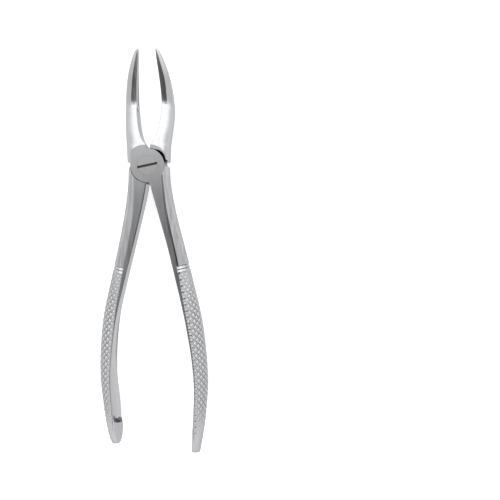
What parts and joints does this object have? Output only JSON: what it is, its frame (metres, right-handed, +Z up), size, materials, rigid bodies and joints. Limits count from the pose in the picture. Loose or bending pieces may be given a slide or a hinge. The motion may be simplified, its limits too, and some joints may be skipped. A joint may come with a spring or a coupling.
{
  "type": "extraction forceps",
  "caption": "Long crossed-handle dental extraction forceps with a lapped slotted-screw joint, S-bent shanks, slender troughed beaks and hollow-backed, cross-hatched handles.",
  "frame": {"origin": "on the pivot axis, in the plane of the joint's flat back face", "axes": "+Y along the instrument towards the beaks, +X to the right, +Z up out of the face with the screw's slotted head"},
  "size_m": [0.0457, 0.1731, 0.0136],
  "materials": {
    "polished_steel": "polished stainless steel, satin on the joint faces",
    "screw_steel": "satin ground stainless steel"
  },
  "bodies": {
    "back": {"back_half": "polished_steel", "joint_screw": "screw_steel"},
    "front": {"front_half": "polished_steel"}
  },
  "joints": [
    {"name": "pivot", "type": "hinge", "parent": "back", "child": "front", "pos_m": [0, 0, 0.0045], "axis": [0, 0, 1], "range_deg": [-7.6, 16.5]}
  ]
}
